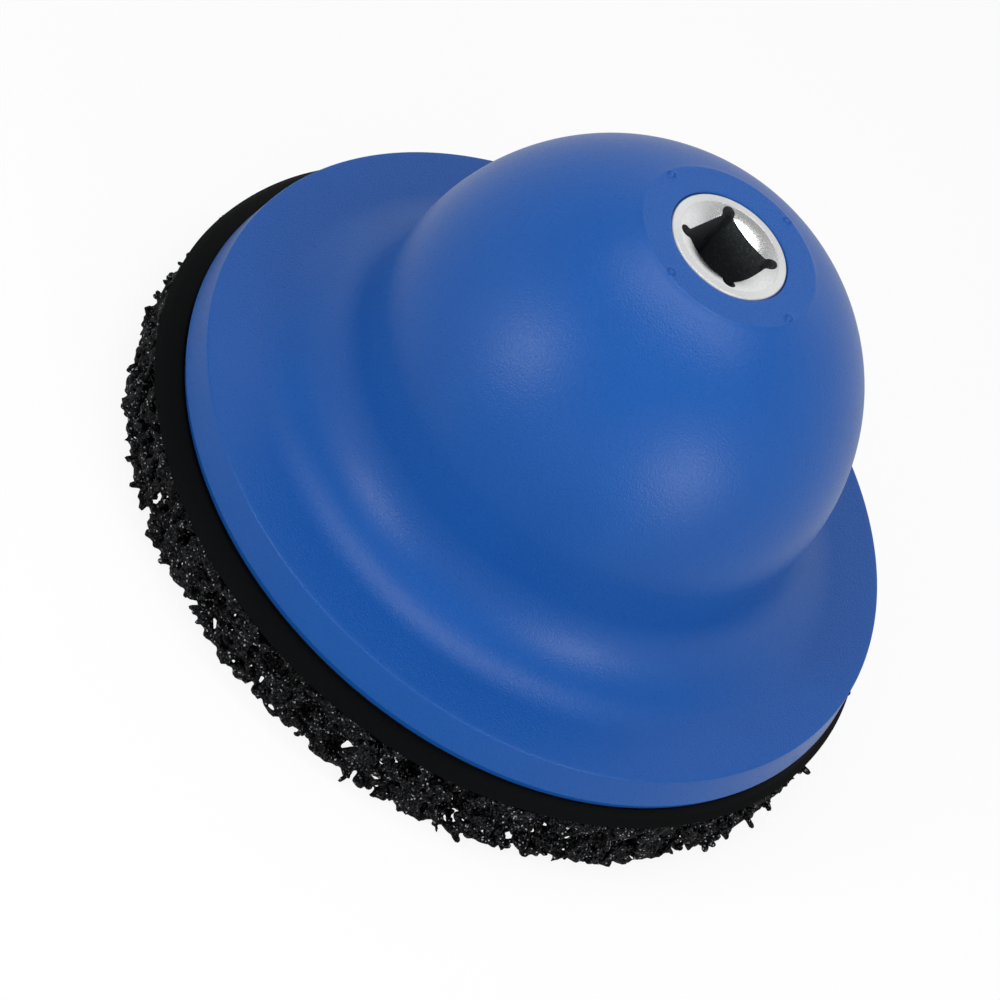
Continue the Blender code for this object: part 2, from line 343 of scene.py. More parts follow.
# ---------------------------------------------------------------- bell
def bell_profile():
    p = arc(HOLE_R + 0.12, CROWN_Z - 0.12, 0.12, 180.0, 90.0, 4)
    p += line(p[-1], (15.85, CROWN_Z), 6)
    # The crown's flat land ends in a slight edge on the dome.
    p += line((15.85, CROWN_Z), (17.5, CROWN_Z), 20)
    p += [(17.62, CROWN_Z - 0.02), (17.74, CROWN_Z - 0.065), (17.86, CROWN_Z - 0.125), (17.98, CROWN_Z - 0.185)]
    start = math.degrees(math.acos(18.12 / DOME_R))
    p += arc(0.0, DOME_Z, DOME_R, start, 0.0, 62)
    start_z, start_r = 36.56, 46.65
    for i in range(1, 11):
        s = i / 10
        p.append((DOME_R + (start_r - DOME_R) * s * s, DOME_Z + (start_z - DOME_Z) * s))
    p += arc(start_r + 14.447, FLANGE_Z + 14.5, 14.5, 184.9, 270.0, 34)[1:]
    p += line(p[-1], (70.7, FLANGE_Z), 8)
    p += arc(70.7, FLANGE_Z - 0.3, 0.3, 90.0, 10.0, 6)[1:]
    # The wall widens down to a short lip that leans back in.
    lip = [(72.13, RIM_WIDE_Z + 0.06), (72.14, RIM_WIDE_Z), (72.12, RIM_WIDE_Z - 0.06)]
    p += line(p[-1], lip[0], 8)[:-1] + lip
    p += line(lip[-1], (71.66, RIM_LOW - 0.1), 4) + arc(71.52, RIM_LOW - 0.1, 0.14, -20.0, -90.0, 4)[1:]
    roof = RIM_LOW + 1.9
    p += [(71.3, RIM_LOW - 0.24), (71.1, RIM_LOW), (70.35, RIM_LOW), (70.2, RIM_LOW + 0.15), (70.2, roof - 0.15), (70.05, roof)]
    p += line(p[-1], (45.15, roof), 6)
    p += [(45.0, roof - 0.15), (45.0, RIM_LOW + 0.15), (44.85, RIM_LOW), (42.8, RIM_LOW), (42.3, RIM_LOW + 0.5)]
    ir = DOME_R - WALL
    p += line(p[-1], (ir, DOME_Z), 8)
    p += arc(0.0, DOME_Z, ir, 0.0, math.degrees(math.acos((PAD_R + 0.6) / ir)), 22)[1:]
    p += [(PAD_R, 78.4), (PAD_R, PAD_Z + 0.3), (PAD_R - 0.3, PAD_Z), (HOLE_R + 0.3, PAD_Z), (HOLE_R, PAD_Z + 0.3)]
    p += line(p[-1], (HOLE_R, CROWN_Z - 0.12), 6)[:-1]
    return p


def bell_angles():
    """Even turns, with finer steps over each of the four small crown marks."""
    half = math.radians(3.6)
    found = []
    for q in range(4):
        at = q * math.pi / 2
        found += list(at + np.linspace(-half, half, 28))
        found += list(np.linspace(at + half, at + math.pi / 2 - half, 56)[1:-1])
    return np.array(sorted(a % (2 * math.pi) for a in found))


def make_bell():
    verts, faces = lathe(bell_profile(), bell_angles())
    v = verts.reshape(-1, 3)
    # Each mark is a shallow round groove with a nub in it.
    for q in range(4):
        a = q * math.pi / 2
        cx, cy = MARK_R * math.cos(a), MARK_R * math.sin(a)
        d = np.hypot(v[:, 0] - cx, v[:, 1] - cy)
        near = (d < 1.15) & (v[:, 2] > CROWN_Z - 2.0)
        dd = d[near]
        lift = -0.19 * np.exp(-((dd - 0.70) / 0.18) ** 2) + 0.09 * np.exp(-((dd - 0.96) / 0.10) ** 2)
        lift += 0.08 * np.exp(-(dd / 0.26) ** 2)
        v[near, 2] += lift
    bell = piece_from("bell_shell", v, faces, M_BLUE, sharp_deg=50)
    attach(bell, "bell")
    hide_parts("bell_housing")
    return bell


# ---------------------------------------------------------------- drive insert
def loft(name, outlines, heights, material):
    """A capped solid through outlines of the same number of points, one above the other."""
    n, top = len(outlines[0]), (len(heights) - 1) * len(outlines[0])
    verts = [(x, y, z) for outline, z in zip(outlines, heights) for x, y in outline]
    faces = [tuple(range(n - 1, -1, -1)), tuple(range(top, top + n))]
    faces += [(k + i, k + (i + 1) % n, k + n + (i + 1) % n, k + n + i) for k in range(0, top, n) for i in range(n)]
    return piece_from(name, verts, faces, material, smooth=False)


def prism(name, outline, low, high, material):
    return loft(name, (outline, outline), (low, high), material)


def socket_outline(r):
    """Square with a round relief of radius r at each corner, its joins eased."""
    half, c, swell = 6.17, 6.0, 0.28
    open_deg = 90.0 - math.degrees(math.asin((half - c) / r))
    quarter = []
    for a in np.linspace(-open_deg, 90 + open_deg, 40):
        quarter.append((c + r * math.cos(math.radians(a)), c + r * math.sin(math.radians(a))))
    end = quarter[-1]
    for s in np.linspace(0, 1, 50)[1:-1]:
        quarter.append((end[0] - 2 * end[0] * s, end[1] + swell * (1 - (2 * s - 1) ** 2)))
    pts = []
    for q in range(4):
        a = q * math.pi / 2
        pts += [(x * math.cos(a) - y * math.sin(a), x * math.sin(a) + y * math.cos(a)) for x, y in quarter]
    p = np.array(pts)
    for _ in range(6):
        p = 0.5 * p + 0.25 * (np.roll(p, 1, 0) + np.roll(p, -1, 0))
    return p


def apply_modifiers(obj):
    bpy.context.view_layer.update()
    done = bpy.data.meshes.new_from_object(obj.evaluated_get(bpy.context.evaluated_depsgraph_get()))
    old = obj.data
    obj.modifiers.clear()
    obj.data = done
    bpy.data.meshes.remove(old)


def make_insert():
    # The dish steepens towards the socket, inside a flat rim with a small chamfer.
    dish = [(9.98 - 3.9 * t, CROWN_Z - 0.03 - 0.85 * t - 0.72 * t * t) for t in np.linspace(0.0, 1.0, 16)]
    p = [(0.0, dish[-1][1])] + dish[::-1]
    p += [(10.0, CROWN_Z - 0.012), (10.04, CROWN_Z), (10.1, CROWN_Z), (11.36, CROWN_Z), (11.42, CROWN_Z), (11.5, CROWN_Z - 0.04), (11.54, CROWN_Z - 0.08), (11.80, CROWN_Z - 0.36)]
    p += [(11.83, CROWN_Z - 0.44)]
    p += line(p[-1], (11.83, 76.9), 4) + [(11.7, 76.7), (11.7, 75.9)]
    p += [(11.9, 75.7), (22.6, 75.7), (23.0, 75.3), (23.0, 72.1), (22.6, 71.7), (11.7, 71.7), (11.5, 71.5), (11.5, 66.3), (11.1, 65.9), (0.0, 65.9)]
    angles = even_angles(160)
    verts, faces = lathe(p[1:-1], angles, closed=False)
    m = len(angles)
    n = len(p) - 2
    v = np.vstack([verts.reshape(-1, 3), [[0, 0, p[0][1]], [0, 0, p[-1][1]]]])
    caps = [(j, (j + 1) % m, n * m) for j in range(m)]
    caps += [((n - 1) * m + (j + 1) % m, (n - 1) * m + j, n * m + 1) for j in range(m)]
    body = piece_from("drive_bush", v, [tuple(f) for f in faces.tolist()] + caps, M_STEEL)
    body.data.materials.append(M_DARK)
    # The corner reliefs run out a little way down the socket.
    full, slight = socket_outline(1.27), socket_outline(0.5)
    cutters = [loft("cut_socket", (slight, slight, full, full), (60.0, 83.4, 85.6, 92.0), M_DARK)]
    for q in range(4):
        a = q * math.pi / 2
        x, y = 16.7 * math.cos(a), 16.7 * math.sin(a)
        # Turned a little, so that no corner of the hole falls on an edge of the turned body.
        ring = [(x + 2.3 * math.cos(t), y + 2.3 * math.sin(t)) for t in even_angles(28) + 0.06]
        cutters.append(prism("cut_hole_%d" % q, ring, 70.0, 75.9 + 0.5, M_DARK))
    for cutter in cutters:
        b = body.modifiers.new(cutter.name, "BOOLEAN")
        b.operation, b.solver, b.object = "DIFFERENCE", "EXACT", cutter
        b.material_mode = "TRANSFER"
    apply_modifiers(body)
    for cutter in cutters:
        bpy.data.objects.remove(cutter, do_unlink=True)
    mesh = body.data
    dark = [i for i, x in enumerate(mesh.materials) if x == M_DARK][0]
    # Below the crown the bush keeps its dark finish; only the face is turned bright.
    for poly in mesh.polygons:
        if poly.center.z < 0.0868 - 0.0015:
            poly.material_index = dark
    mesh.shade_smooth()
    mesh.set_sharp_from_angle(angle=math.radians(28))
    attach(body, "bell")
    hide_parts("drive_insert")
    return body


# ---------------------------------------------------------------- disc layers
def run_out(theta):
    return RUN_OUT * np.cos(theta - RUN_OUT_AT)


def wobble(theta, seed, size, waves):
    """Smooth closed irregularity round the edge."""
    rng = np.random.default_rng(seed)
    out = np.zeros_like(theta)
    for k in waves:
        out += rng.normal() * np.cos(k * theta + rng.uniform(0, 2 * math.pi)) / math.sqrt(len(waves))
    return size * out


def make_foam():
    """Foam ring whose outer edge slopes from under the bell's rim down to the web."""
    top, low = FOAM_TOP, FOAM_LOW
    p = [(71.8 + 3.3 * t, LOOP_TOP - 0.16 - 2.51 * t ** 1.3) for t in np.linspace(0.0, 1.0, 15)]
    p += [(75.17, low + 0.2), (75.12, low + 0.06), (74.95, low)]
    p += line(p[-1], (DISC_HOLE + 0.4, low), 6)
    p += [(DISC_HOLE, low + 0.4), (DISC_HOLE, top - 0.1), (DISC_HOLE + 0.1, top)]
    p += line(p[-1], (71.45, top), 6) + [(71.55, LOOP_TOP - 0.3), (71.65, LOOP_TOP - 0.19)]
    angles = even_angles(384)
    verts, faces = lathe(p, angles)
    r = np.hypot(verts[:, :, 0], verts[:, :, 1])
    grow = np.clip((r - 71.5) / 2.5, 0, 1) * (run_out(angles) + wobble(angles, 11, 0.16, (3, 5, 9, 14)))[None, :]
    k = (r + grow) / r
    verts[:, :, 0] *= k
    verts[:, :, 1] *= k
    foam_piece = piece_from("foam_backing", verts.reshape(-1, 3), faces, M_FOAM, sharp_deg=60)
    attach(foam_piece, "abrasive_disc")
    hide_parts("foam_ring")
    return foam_piece


def make_loop():
    """Fleece sheet on the foam, its top a mat of small loops."""
    rng = np.random.default_rng(5)
    p = [(x, LOOP_TOP - 0.32) for x in np.linspace(DISC_HOLE + 0.3, 71.2, 60)]
    p += [(71.3, LOOP_TOP - 0.4), (71.38, LOOP_TOP - 0.5), (71.35, FOAM_TOP + 0.1), (71.25, FOAM_TOP)]
    p += line(p[-1], (DISC_HOLE + 0.3, FOAM_TOP), 4) + [(DISC_HOLE, FOAM_TOP + 0.2), (DISC_HOLE, LOOP_TOP - 0.5)]
    angles = even_angles(360)
    verts, faces = lathe(p, angles)
    bumpy = rng.normal(size=(60, 360)) * 0.05
    verts[1:59, :, 2] += np.clip(bumpy[1:59], -0.12, 0.1)
    v, f = [verts.reshape(-1, 3)], [faces]
    # Small loops of yarn standing on the sheet.
    count, steps, sides = 2600, 6, 3
    rr = np.sqrt(rng.uniform((DISC_HOLE + 1.2) ** 2, 70.6 ** 2, count))
    th = rng.uniform(0, 2 * math.pi, count)
    heading = rng.uniform(0, math.pi, count)
    span = rng.uniform(0.45, 0.9, count)
    tall = rng.uniform(0.12, 0.27, count)
    s = np.linspace(-1, 1, steps)
    along = s[None, :] * span[:, None]
    cx = (rr * np.cos(th))[:, None] + along * np.cos(heading)[:, None]
    cy = (rr * np.sin(th))[:, None] + along * np.sin(heading)[:, None]
    cz = LOOP_TOP - 0.42 + (1 - s ** 2)[None, :] * (tall + 0.12)[:, None]
    side = np.stack([-np.sin(heading), np.cos(heading), np.zeros(count)], -1)
    radius = 0.07
    rings = []
    for k in range(sides):
        a = 2 * math.pi * k / sides + math.pi / 2
        rings.append(np.stack([cx, cy, cz], -1) + radius * (math.cos(a) * side[:, None, :] + math.sin(a) * np.array([0, 0, 1.0])))
    tube = np.stack(rings, 2)
    base = len(v[0])
    idx = base + np.arange(count * steps * sides).reshape(count, steps, sides)
    quads = []
    for k in range(sides):
        k2 = (k + 1) % sides
        quads.append(np.stack([idx[:, :-1, k], idx[:, 1:, k], idx[:, 1:, k2], idx[:, :-1, k2]], -1).reshape(-1, 4))
    ends = np.concatenate([idx[:, 0, ::1].reshape(-1, sides), idx[:, -1, ::-1].reshape(-1, sides)])
    v.append(tube.reshape(-1, 3))
    allv = np.vstack(v)
    faces_list = [tuple(x) for x in np.vstack(f + quads).tolist()] + [tuple(x) for x in ends.tolist()]
    loop = piece_from("loop_fleece", allv, faces_list, M_FLEECE, sharp_deg=60)
    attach(loop, "abrasive_disc")
    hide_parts("loop_ring")
    return loop


def make_hooks():
    """Hook tape: a thin base with rows of mushroom-headed stems."""
    low = RIM_LOW
    p = [(45.3, low + 1.6), (69.9, low + 1.6), (69.9, low + 0.75), (45.3, low + 0.75)]
    verts, faces = lathe(p, even_angles(256))
    v, f, base = [verts.reshape(-1, 3)], [tuple(x) for x in faces.tolist()], verts.shape[0] * verts.shape[1]
    stem = [(0.20, low + 0.77), (0.15, low + 0.30), (0.36, low + 0.22), (0.36, low + 0.14), (0.20, low + 0.04)]
    sides = 7
    unit = [(math.cos(2 * math.pi * k / sides), math.sin(2 * math.pi * k / sides)) for k in range(sides)]
    row = 0
    r = 46.6
    while r < 69.0:
        n = int(2 * math.pi * r / 1.75)
        for i in range(n):
            a = 2 * math.pi * (i + 0.5 * (row % 2)) / n
            x, y = r * math.cos(a), r * math.sin(a)
            pts = [(x + sr * ux, y + sr * uy, sz) for sr, sz in stem for ux, uy in unit]
            v.append(np.array(pts))
            for s in range(len(stem) - 1):
                for k in range(sides):
                    k2 = (k + 1) % sides
                    f.append((base + s * sides + k2, base + s * sides + k, base + (s + 1) * sides + k, base + (s + 1) * sides + k2))
            f.append(tuple(base + k for k in range(sides)))
            f.append(tuple(base + (len(stem) - 1) * sides + k for k in range(sides - 1, -1, -1)))
            base += len(pts)
        row += 1
        r += 1.65
    hooks = piece_from("hook_tape", np.vstack(v), f, M_HOOK, sharp_deg=40)
    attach(hooks, "bell")
    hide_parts("hook_ring")
    return hooks


# ---------------------------------------------------------------- abrasive web
WEB_TOP = FOAM_LOW + 0.12


def grow_strands(rng, count, steps, step):
    """Wandering strands through the ring, mostly in its plane. Points and radii."""
    r = np.sqrt(rng.uniform(40.0 ** 2, 81.0 ** 2, count))
    th = rng.uniform(0, 2 * math.pi, count)
    pos = np.stack([r * np.cos(th), r * np.sin(th), rng.uniform(0.3, WEB_TOP, count)], -1)
    head = rng.normal(size=(count, 3)) * np.array([1.0, 1.0, 0.7])
    head /= np.linalg.norm(head, axis=1, keepdims=True)
    bend = rng.normal(size=(count, 3)) * 0.16
    fat = rng.normal(size=count) * 0.05
    base = rng.uniform(0.46, 0.74, count)
    points, radii = [], []
    for _ in range(steps):
        points.append(pos.copy())
        radii.append(base + fat)
        bend = 0.90 * bend + rng.normal(size=(count, 3)) * 0.065
        fat = 0.8 * fat + rng.normal(size=count) * 0.045
        head = head + bend * step / 0.35
        head[:, 2] *= 0.985
        head /= np.linalg.norm(head, axis=1, keepdims=True)
        pos = pos + head * step
        low, high = pos[:, 2] < 0.45, pos[:, 2] > WEB_TOP - 0.2
        head[low, 2] = np.abs(head[low, 2])
        head[high, 2] = -np.abs(head[high, 2])
        pos[:, 2] = np.clip(pos[:, 2], 0.42, WEB_TOP - 0.15)
    p = np.stack(points, 1).reshape(-1, 3)
    q = np.stack(radii, 1).reshape(-1)
    rr = np.hypot(p[:, 0], p[:, 1])
    keep = (rr < 77.5) & (rr > 44.0)
    return p[keep], np.clip(q[keep], 0.36, 0.86)


def open_pits(rng, points, radii, count):
    """Takes the strands out of scattered rounded pores."""
    r = np.sqrt(rng.uniform(45.0 ** 2, 76.0 ** 2, count))
    th = rng.uniform(0, 2 * math.pi, count)
    centre = np.stack([r * np.cos(th), r * np.sin(th), rng.uniform(0.0, WEB_TOP, count)], -1)
    size = rng.uniform(1.1, 2.1, count)
    cells = {}
    for i, c in enumerate(np.floor(centre / 2.2).astype(int)):
        cells.setdefault(tuple(c), []).append(i)
    home = np.floor(points / 2.2).astype(int)
    order = np.lexsort(home.T)
    keep = np.ones(len(points), bool)
    split = np.flatnonzero(np.any(np.diff(home[order], axis=0) != 0, axis=1)) + 1
    for group in np.split(order, split):
        a, b, c = home[group[0]]
        near = [i for da in (-1, 0, 1) for db in (-1, 0, 1) for dc in (-1, 0, 1) for i in cells.get((a + da, b + db, c + dc), ())]
        if near:
            d = np.linalg.norm(points[group][:, None, :] - centre[near][None, :, :], axis=2)
            keep[group] = np.all(d > size[near][None, :] + 0.15, axis=1)
    return points[keep], radii[keep]


EDGE_R = 74.7
EDGE_WAVES = (4, 7, 11, 17, 26, 38)


def web_edge(theta):
    """Radius at which the web is cut, a little off the foam's own edge."""
    return EDGE_R + run_out(theta) + 0.9 * np.cos(theta - math.radians(-70.0)) + wobble(theta, 23, 0.30, EDGE_WAVES)


def grow_stubs(rng, count):
    """Cut strand ends that stand out of the die-cut edge."""
    th = rng.uniform(0, 2 * math.pi, count)
    z = 0.6 + (WEB_TOP - 1.6) * rng.uniform(0, 1, count) ** 1.6
    out = np.stack([np.cos(th), np.sin(th), np.zeros(count)], -1)
    side = np.stack([-np.sin(th), np.cos(th), np.zeros(count)], -1)
    up = np.array([0.0, 0.0, 1.0])
    head = out + side * rng.normal(0, 0.65, count)[:, None] + up * rng.normal(-0.05, 0.5, count)[:, None]
    head /= np.linalg.norm(head, axis=1, keepdims=True)
    start = out * (web_edge(th) - 1.9)[:, None] + up * z[:, None]
    length = 2.1 + np.minimum(rng.exponential(0.9, count), 2.4)
    base = rng.uniform(0.38, 0.64, count)
    bend = rng.normal(size=(count, 3)) * 0.10
    pos, points, radii = start, [], []
    for k in range(18):
        ok = k * 0.24 < length
        points.append(pos[ok])
        radii.append((base * (1.0 + 0.12 * np.sin(2.1 * k + th * 40)))[ok])
        head = head + bend
        head /= np.linalg.norm(head, axis=1, keepdims=True)
        pos = pos + head * 0.24
    p, q = np.vstack(points), np.concatenate(radii)
    p[:, 2] = np.clip(p[:, 2], 0.5, WEB_TOP - 0.3)
    return p, q


def grow_hem(rng, count):
    """Short strands that run along the bottom of the die-cut edge."""
    th = rng.uniform(0, 2 * math.pi, count)
    out = np.stack([np.cos(th), np.sin(th), np.zeros(count)], -1)
    side = np.stack([-np.sin(th), np.cos(th), np.zeros(count)], -1)
    up = np.array([0.0, 0.0, 1.0])
    pos = out * (web_edge(th) - rng.uniform(0.2, 1.4, count))[:, None] + up * rng.uniform(0.5, 1.4, count)[:, None]
    head = side * rng.choice([-1.0, 1.0], count)[:, None] + out * rng.normal(0, 0.45, count)[:, None] + up * rng.normal(0.1, 0.35, count)[:, None]
    head /= np.linalg.norm(head, axis=1, keepdims=True)
    bend = rng.normal(size=(count, 3)) * 0.09
    base = rng.uniform(0.44, 0.68, count)
    points, radii = [], []
    for k in range(12):
        points.append(pos.copy())
        radii.append(base * (1.0 + 0.1 * np.sin(1.7 * k + th * 37)))
        head = head + bend
        head /= np.linalg.norm(head, axis=1, keepdims=True)
        pos = pos + head * 0.42
        pos[:, 2] = np.clip(pos[:, 2], 0.45, 3.0)
    return np.stack(points, 1).reshape(-1, 3), np.stack(radii, 1).reshape(-1)


def rough_field(rng, spacing, low, shape, h):
    """Smooth random values on the grid, about one to each side of zero."""
    n = [int(math.ceil(shape[k] * h / spacing)) + 2 for k in range(3)]
    coarse = rng.normal(size=n)
    out = coarse
    for axis in range(3):
        x = np.arange(shape[axis]) * h / spacing
        i = np.floor(x).astype(int)
        t = x - i
        t = t * t * (3 - 2 * t)
        view = [1, 1, 1]
        view[axis] = -1
        t = t.reshape(view)
        out = np.take(out, i, axis) * (1 - t) + np.take(out, i + 1, axis) * t
    return out


def splat(points, radii, low, shape, h, sharp):
    """Soft union of balls on a grid: a field above zero inside, in millimetres."""
    total = np.zeros(int(np.prod(shape)))
    reach = 1.4
    n = int(math.ceil(reach / h))
    offsets = np.array([(i, j, k) for i in range(-n, n + 1) for j in range(-n, n + 1) for k in range(-n, n + 1)])
    offsets = offsets[np.linalg.norm(offsets, axis=1) * h < reach + h]
    cell = np.round((points - low) / h).astype(np.int64)
    strides = np.array([shape[1] * shape[2], shape[2], 1])
    for o in offsets:
        c = cell + o
        ok = np.all((c >= 0) & (c < np.array(shape)), axis=1)
        c = c[ok]
        d = np.linalg.norm(low + c * h - points[ok], axis=1)
        total += np.bincount(c @ strides, weights=np.exp(-sharp * (d - radii[ok])), minlength=len(total))
    return (np.log(total + 1e-9) / sharp).reshape(shape)


def no_touching_corners(f):
    """Fills where two solids would meet only along an edge, so that the surface stays clean."""
    for _ in range(12):
        found = 0
        for axis in range(3):
            a, b = [x for x in range(3) if x != axis]
            s = f > 0
            s00 = s
            s10 = np.roll(s, -1, a)
            s01 = np.roll(s, -1, b)
            s11 = np.roll(s10, -1, b)
            bad = (s00 == s11) & (s10 == s01) & (s00 != s10)
            inner = [slice(1, -2)] * 3
            mask = np.zeros_like(bad)
            mask[tuple(inner)] = bad[tuple(inner)]
            found += int(mask.sum())
            if mask.any():
                f[mask & ~s00] = 0.03
                at = mask & s00
                f[np.roll(at, 1, a) & ~s] = 0.03
        if not found:
            break
    return f


def surface_nets(f, low, h):
    """Closed quad surface of f = 0, facing the outside."""
    s = f > 0
    nx, ny, nz = f.shape
    count = np.zeros((nx - 1, ny - 1, nz - 1), np.int8)
    corners = [(i, j, k) for i in (0, 1) for j in (0, 1) for k in (0, 1)]
    for i, j, k in corners:
        count += s[i:nx - 1 + i, j:ny - 1 + j, k:nz - 1 + k]
    active = (count > 0) & (count < 8)
    ix = np.argwhere(active)
    number = np.full(active.shape, -1, np.int64)
    number[active] = np.arange(len(ix))
    place = np.zeros((len(ix), 3))
    hits = np.zeros(len(ix))
    for c0 in corners:
        for axis in range(3):
            if c0[axis] == 1:
                continue
            c1 = list(c0)
            c1[axis] = 1
            a = f[ix[:, 0] + c0[0], ix[:, 1] + c0[1], ix[:, 2] + c0[2]]
            b = f[ix[:, 0] + c1[0], ix[:, 1] + c1[1], ix[:, 2] + c1[2]]
            cross = (a > 0) != (b > 0)
            t = np.where(cross, a / np.where(cross, a - b, 1.0), 0.0)
            at = np.tile(np.array(c0, float), (len(ix), 1))
            at[:, axis] += t
            place += at * cross[:, None]
            hits += cross
    place = low + (ix + place / hits[:, None]) * h
    quads = []
    for axis in range(3):
        a, b = (axis + 1) % 3, (axis + 2) % 3
        s0 = np.take(s, range(0, f.shape[axis] - 1), axis)
        s1 = np.take(s, range(1, f.shape[axis]), axis)
        e = np.argwhere(s0 != s1)
        e = e[(e[:, a] > 0) & (e[:, b] > 0) & (e[:, a] < f.shape[a] - 1) & (e[:, b] < f.shape[b] - 1)]
        outward = s[e[:, 0], e[:, 1], e[:, 2]]
        ring = []
        for da, db in ((-1, -1), (0, -1), (0, 0), (-1, 0)):
            c = e.copy()
            c[:, a] += da
            c[:, b] += db
            ring.append(number[c[:, 0], c[:, 1], c[:, 2]])
        q = np.stack(ring, -1)
        q[~outward] = q[~outward][:, ::-1]
        quads.append(q)
    return place, np.vstack(quads)


def largest_body(v, q):
    """Drops loose crumbs that touch nothing."""
    label = np.arange(len(v))
    edges = np.vstack([q[:, [0, 1]], q[:, [1, 2]], q[:, [2, 3]], q[:, [3, 0]]])
    while True:
        least = np.minimum(label[edges[:, 0]], label[edges[:, 1]])
        new = label.copy()
        np.minimum.at(new, edges[:, 0], least)
        np.minimum.at(new, edges[:, 1], least)
        new = new[new]
        new = new[new]
        if np.array_equal(new, label):
            break
        label = new
    names, counts = np.unique(label, return_counts=True)
    keep = label == names[counts.argmax()]
    index = np.cumsum(keep) - 1
    return v[keep], index[q[keep[q].all(1)]]


def keep_one_skin(mesh):
    """Drops the few flaps and crumbs that thinning out leaves hanging on by a corner."""
    bm = bmesh.new()
    bm.from_mesh(mesh)
    skin, sizes = [-1] * len(bm.faces), []
    for start in bm.faces:
        if skin[start.index] >= 0:
            continue
        here, size, queue = len(sizes), 0, [start]
        skin[start.index] = here
        while queue:
            face = queue.pop()
            size += 1
            for edge in face.edges:
                if len(edge.link_faces) != 2:
                    continue
                for other in edge.link_faces:
                    if skin[other.index] < 0:
                        skin[other.index] = here
                        queue.append(other)
        sizes.append(size)
    main = sizes.index(max(sizes))
    bmesh.ops.delete(bm, geom=[f for f in bm.faces if skin[f.index] != main], context="FACES")
    bm.to_mesh(mesh)
    bm.free()


def web_piece(name, body, stubs, r_low, r_high, h, faces_wanted, rng):
    low = np.array([-79.5, -79.5, -1.2])
    shape = (int(159.0 / h) + 1, int(159.0 / h) + 1, int(15.2 / h) + 1)
    gx = low[0] + h * np.arange(shape[0])
    gy = low[1] + h * np.arange(shape[1])
    gz = low[2] + h * np.arange(shape[2])
    gr = np.hypot(gx[:, None], gy[None, :])
    gt = np.arctan2(gy[None, :], gx[:, None])

    def near(points, radii):
        rr = np.hypot(points[:, 0], points[:, 1])
        ok = (rr > r_low - 2.0) & (rr < r_high + 2.0)
        return points[ok], radii[ok] - 0.16

    f = splat(*near(*body), low, shape, h, 6.0)
    # The die cuts the strands off along a slightly uneven edge.
    f = np.minimum(f, (web_edge(gt) - gr)[:, :, None] + 0.5 * rough_field(rng, 1.5, low, shape, h))
    if stubs is not None:
        f = np.maximum(f, splat(*near(*stubs), low, shape, h, 6.0))
    f = np.minimum(f, np.minimum(gr - r_low, r_high - gr)[:, :, None])
    f = np.minimum(f, np.minimum(gz - 0.02, WEB_TOP - gz)[None, None, :])
    f[0], f[-1], f[:, 0], f[:, -1], f[:, :, 0], f[:, :, -1] = (-1,) * 6
    f = no_touching_corners(f)
    ring = (gr > r_low + 1) & (gr < min(r_high, 74.0))
    print("SOLID", name, round(float((f[ring][:, (gz > 1) & (gz < 11.5)] > 0).mean()), 3))
    v, q = largest_body(*surface_nets(f, low, h))
    web = piece_from(name, v, q, M_WEB)
    share = faces_wanted / (2.0 * len(q))
    if share < 1.0:
        d = web.modifiers.new("thin_out", "DECIMATE")
        d.ratio = share
        apply_modifiers(web)
        keep_one_skin(web.data)
        web.data.shade_smooth()
    print("WEB", name, "quads", len(q), "faces", len(web.data.polygons))
    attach(web, "abrasive_disc")
    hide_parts("abrasive_web")
    return web


def make_web():
    rng = np.random.default_rng(42)
    points, radii = grow_strands(rng, 6500, 42, 0.5)
    points, radii = open_pits(rng, points, radii, 2000)
    hem, hem_radii = grow_hem(rng, 190)
    points, radii = np.vstack([points, hem]), np.concatenate([radii, hem_radii])
    # Lumps of grit set in the resin.
    pick = rng.integers(0, len(points), 50000)
    out = rng.normal(size=(len(pick), 3))
    out /= np.linalg.norm(out, axis=1, keepdims=True)
    lumps = points[pick] + out * (radii[pick] * 0.85)[:, None]
    lumps[:, 2] = np.clip(lumps[:, 2], 0.35, WEB_TOP - 0.2)
    body = (np.vstack([points, lumps]), np.concatenate([radii, rng.uniform(0.32, 0.50, len(pick))]))
    stubs = grow_stubs(rng, 680)
    web_piece("abrasive_web_edge", body, stubs, 70.9, 79.0, 0.37, 196000, rng)
    web_piece("abrasive_web_core", body, None, 43.5, 71.5, 0.78, 190000, rng)


# ---------------------------------------------------------------- stage, light and camera
# Brightness of the surround, then soft patches of it: degrees round from the camera's side, degrees up,
# the half-angles where the patch fades out and is full, and the brightness it adds.
SURROUND_BASE = 0.67
SURROUND = (
    (0.0, 90.0, 60.0, 32.0, -0.62),
    (0.0, 0.0, 60.0, 15.0, -0.30),
    (-50.0, 22.0, 40.0, 10.0, 0.5),
    (50.0, 20.0, 40.0, 10.0, 0.6),
    (180.0, 40.0, 45.0, 15.0, 0.4),
)


